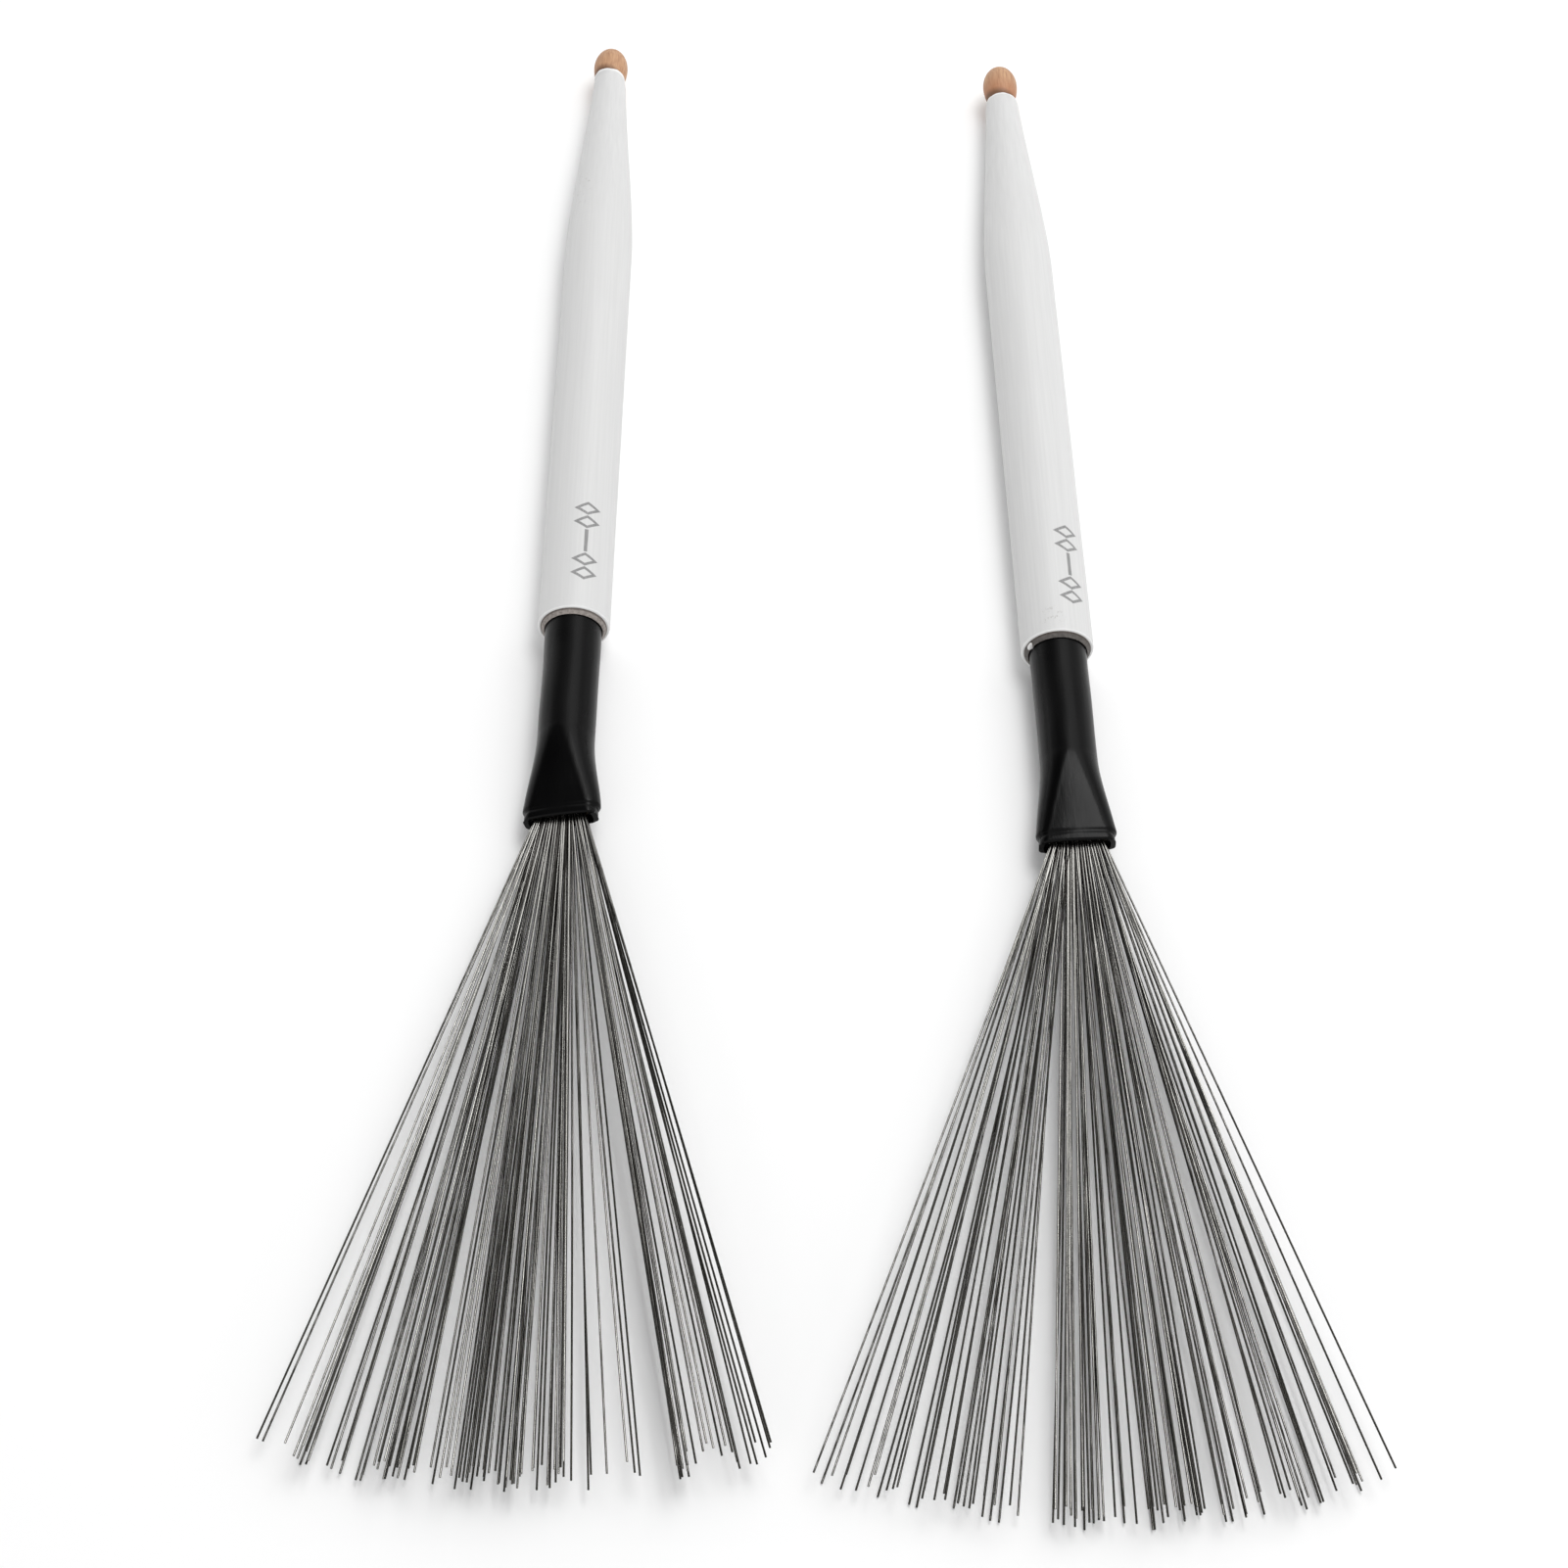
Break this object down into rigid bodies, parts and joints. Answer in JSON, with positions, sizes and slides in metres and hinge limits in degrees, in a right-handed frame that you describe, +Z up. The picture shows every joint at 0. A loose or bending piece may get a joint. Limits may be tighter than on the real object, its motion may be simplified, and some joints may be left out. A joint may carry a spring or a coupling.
{
  "type": "wire drum brush pair",
  "caption": "Pair of drum brushes: white lacquered wooden sticks with bare bead tips, black sleeves with flattened mouths, and flat fans of fine steel wires.",
  "frame": {"origin": "centre of the pair's box on the surface that it lies on", "axes": "+Y from the wires to the bead tips, +X to the right seen from above with the beads far, +Z up"},
  "size_m": [0.2016, 0.3634, 0.0151],
  "materials": {
    "bare_wood": "bare turned hardwood with fine lengthwise grain",
    "white_lacquer": "satin white lacquer, the wood grain just showing through, faint scuffs",
    "grey_adhesive": "rough grey-brown set adhesive",
    "black_sleeve": "black soft PVC, satin, pulled smooth over the tube",
    "steel_tube": "plain drawn steel tube",
    "resin": "cloudy amber casting resin",
    "spring_wire": "grey drawn spring steel with thin bright glints along each wire"
  },
  "bodies": {
    "left_brush": {"left_stick": "bare_wood", "left_white_coat": "white_lacquer", "left_glue_collar": "grey_adhesive", "left_sleeve": "black_sleeve", "left_flattened_tube": "steel_tube", "left_root_plug": "resin"},
    "left_wires": {"left_wire_layer_1": "spring_wire", "left_wire_layer_2": "spring_wire", "left_wire_layer_3": "spring_wire", "left_wire_layer_4": "spring_wire", "left_wire_layer_5": "spring_wire", "left_stray_wires": "spring_wire"},
    "right_brush": {"right_stick": "bare_wood", "right_white_coat": "white_lacquer", "right_glue_collar": "grey_adhesive", "right_sleeve": "black_sleeve", "right_flattened_tube": "steel_tube", "right_root_plug": "resin"},
    "right_wires": {"right_wire_layer_1": "spring_wire", "right_wire_layer_2": "spring_wire", "right_wire_layer_3": "spring_wire", "right_wire_layer_4": "spring_wire", "right_wire_layer_5": "spring_wire", "right_stray_wire": "spring_wire"}
  },
  "joints": [
    {"name": "left_wire_flex", "type": "hinge", "parent": "left_brush", "child": "left_wires", "pos_m": [-0.05187, -0.0354, 0.0075], "axis": [-0.9702, 0.0152, -0.2419], "range_deg": [0, 15], "stiffness_Nm_per_rad": 0.43, "springref_deg": 1.38},
    {"name": "right_brush_lift", "type": "slide", "parent": "left_brush", "child": "right_brush", "axis": [0, 0, 1], "range_m": [0, 0.15]},
    {"name": "right_wire_flex", "type": "hinge", "parent": "right_brush", "child": "right_wires", "pos_m": [0.05038, -0.04138, 0.0075], "axis": [-0.9981, -0.0331, -0.0523], "range_deg": [0, 15], "stiffness_Nm_per_rad": 0.43, "springref_deg": 1.38}
  ]
}
